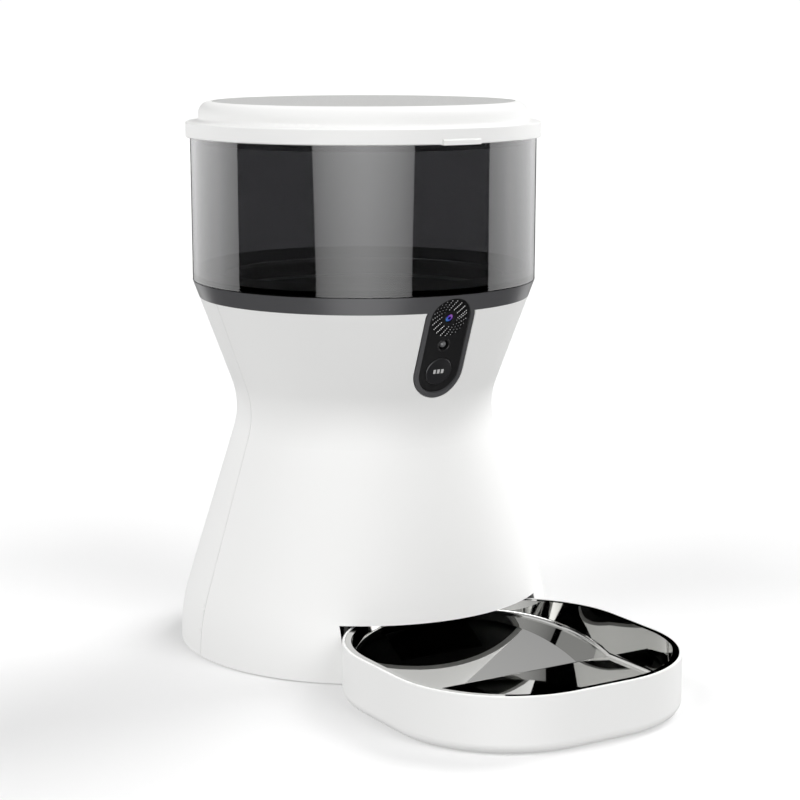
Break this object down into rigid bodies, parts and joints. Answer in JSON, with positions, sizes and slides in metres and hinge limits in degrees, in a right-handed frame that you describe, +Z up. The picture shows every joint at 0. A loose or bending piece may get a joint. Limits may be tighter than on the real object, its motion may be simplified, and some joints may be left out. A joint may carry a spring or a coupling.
{
  "type": "automatic pet feeder",
  "caption": "Automatic pet feeder: waisted round body with a dark hopper under a lift-off lid, a front control panel, and a pull-out tray holding a rounded steel bowl.",
  "frame": {"origin": "middle of the footprint of body and tray together, on the surface the feeder stands on", "axes": "+Z up, -Y to the front where the bowl is, +X to the right of a person facing the back of the feeder"},
  "size_m": [0.2, 0.3188, 0.2878],
  "materials": {
    "body_white": "glossy moulded ABS",
    "tray_white": "glossy moulded ABS",
    "lid_white": "glossy moulded ABS",
    "lid_texture": "fine moulded texture",
    "ring_grey": "satin dark grey",
    "panel_black": "satin black",
    "grille_metal": "black anodised, perforated",
    "lens_black": "polished black",
    "lens_glass": "coated lens",
    "sensor_grey": "smoky clear",
    "button_grey": "satin",
    "hopper_smoke": "dark smoked clear, polished",
    "inner_white": "plain moulded",
    "niche_black": "plain moulded, dark",
    "seal_silicone": "soft silicone",
    "foot_rubber": "soft rubber",
    "gear_acetal": "acetal",
    "steel_plain": "zinc plated",
    "bowl_steel": "mirror-polished stainless steel",
    "bush_brass": "plain",
    "board_green": "solder-masked board",
    "part_black": "electronic parts",
    "cell_jacket": "plain jacket",
    "bag_cloth": "non-woven"
  },
  "bodies": {
    "base": {"front_shell": "body_white", "rear_shell": "body_white", "shell_screws": "steel_plain", "trim_ring": "ring_grey", "panel_face": "panel_black", "speaker_grille": "grille_metal", "lens_ring": "lens_black", "camera_lens": "lens_glass", "camera_module": "part_black", "sensor_bezel": "lens_black", "sensor_dome": "sensor_grey", "tact_switch": "part_black", "panel_board": "board_green", "micro_speaker": "part_black", "microphone": "steel_plain", "hopper": "hopper_smoke", "hopper_floor": "niche_black", "hopper_gasket": "seal_silicone", "funnel": "niche_black", "metering_drum": "inner_white", "drum_screws": "steel_plain", "level_sensors": "part_black", "gear_motor": "steel_plain", "gear_axles": "steel_plain", "gearbox_case": "inner_white", "gearbox_cover": "inner_white", "gearbox_screws": "steel_plain", "shaft_bushes": "bush_brass", "chute": "niche_black", "bowl_niche": "niche_black", "base_plate": "body_white", "battery_cover": "body_white", "battery_screw": "steel_plain", "battery_bay": "inner_white", "battery_cells": "cell_jacket", "battery_contacts": "steel_plain", "base_screws": "steel_plain", "rubber_feet": "foot_rubber", "dc_socket": "part_black", "main_board": "board_green", "board_parts": "part_black", "board_screws": "steel_plain"},
    "lid": {"lid_shell": "lid_white", "lid_top_panel": "lid_texture", "lid_liner": "inner_white", "lid_seal": "seal_silicone", "desiccant_box": "inner_white", "desiccant_bag": "bag_cloth"},
    "tray": {"feed_tray": "tray_white", "tray_pads": "foot_rubber", "steel_bowl": "bowl_steel"},
    "button": {"control_button": "button_grey"},
    "rotor_set": {"rotor": "inner_white", "rotor_wipers": "seal_silicone", "agitator": "inner_white", "rotor_shaft": "steel_plain", "output_gear": "gear_acetal"},
    "second_wheel": {"second_gear": "gear_acetal"},
    "first_wheel": {"first_gear": "gear_acetal"},
    "motor_shaft": {"motor_pinion": "steel_plain"}
  },
  "joints": [
    {"name": "lid_lift", "type": "slide", "parent": "base", "child": "lid", "axis": [0, 0, 1], "range_m": [0, 0.06]},
    {"name": "tray_slide", "type": "slide", "parent": "base", "child": "tray", "axis": [0, -1, 0], "range_m": [0, 0.06]},
    {"name": "button_press", "type": "slide", "parent": "base", "child": "button", "axis": [0, 0.9379, 0.347], "range_m": [0, 0.001], "stiffness_N_per_m": 400},
    {"name": "rotor_spin", "type": "hinge", "parent": "base", "child": "rotor_set", "pos_m": [0, 0.05945, 0.1], "axis": [0, 0, 1], "continuous": true},
    {"name": "second_spin", "type": "hinge", "parent": "base", "child": "second_wheel", "pos_m": [0, 0.08345, 0.07], "axis": [0, 0, 1], "continuous": true},
    {"name": "first_spin", "type": "hinge", "parent": "base", "child": "first_wheel", "pos_m": [0.02, 0.08345, 0.07], "axis": [0, 0, 1], "continuous": true},
    {"name": "motor_spin", "type": "hinge", "parent": "base", "child": "motor_shaft", "pos_m": [0.03414, 0.06931, 0.07], "axis": [0, 0, 1], "continuous": true}
  ],
  "couplings": [
    {"joint": "second_spin", "follows": "rotor_spin", "ratio": -4},
    {"joint": "first_spin", "follows": "rotor_spin", "ratio": 16},
    {"joint": "motor_spin", "follows": "rotor_spin", "ratio": -64}
  ]
}
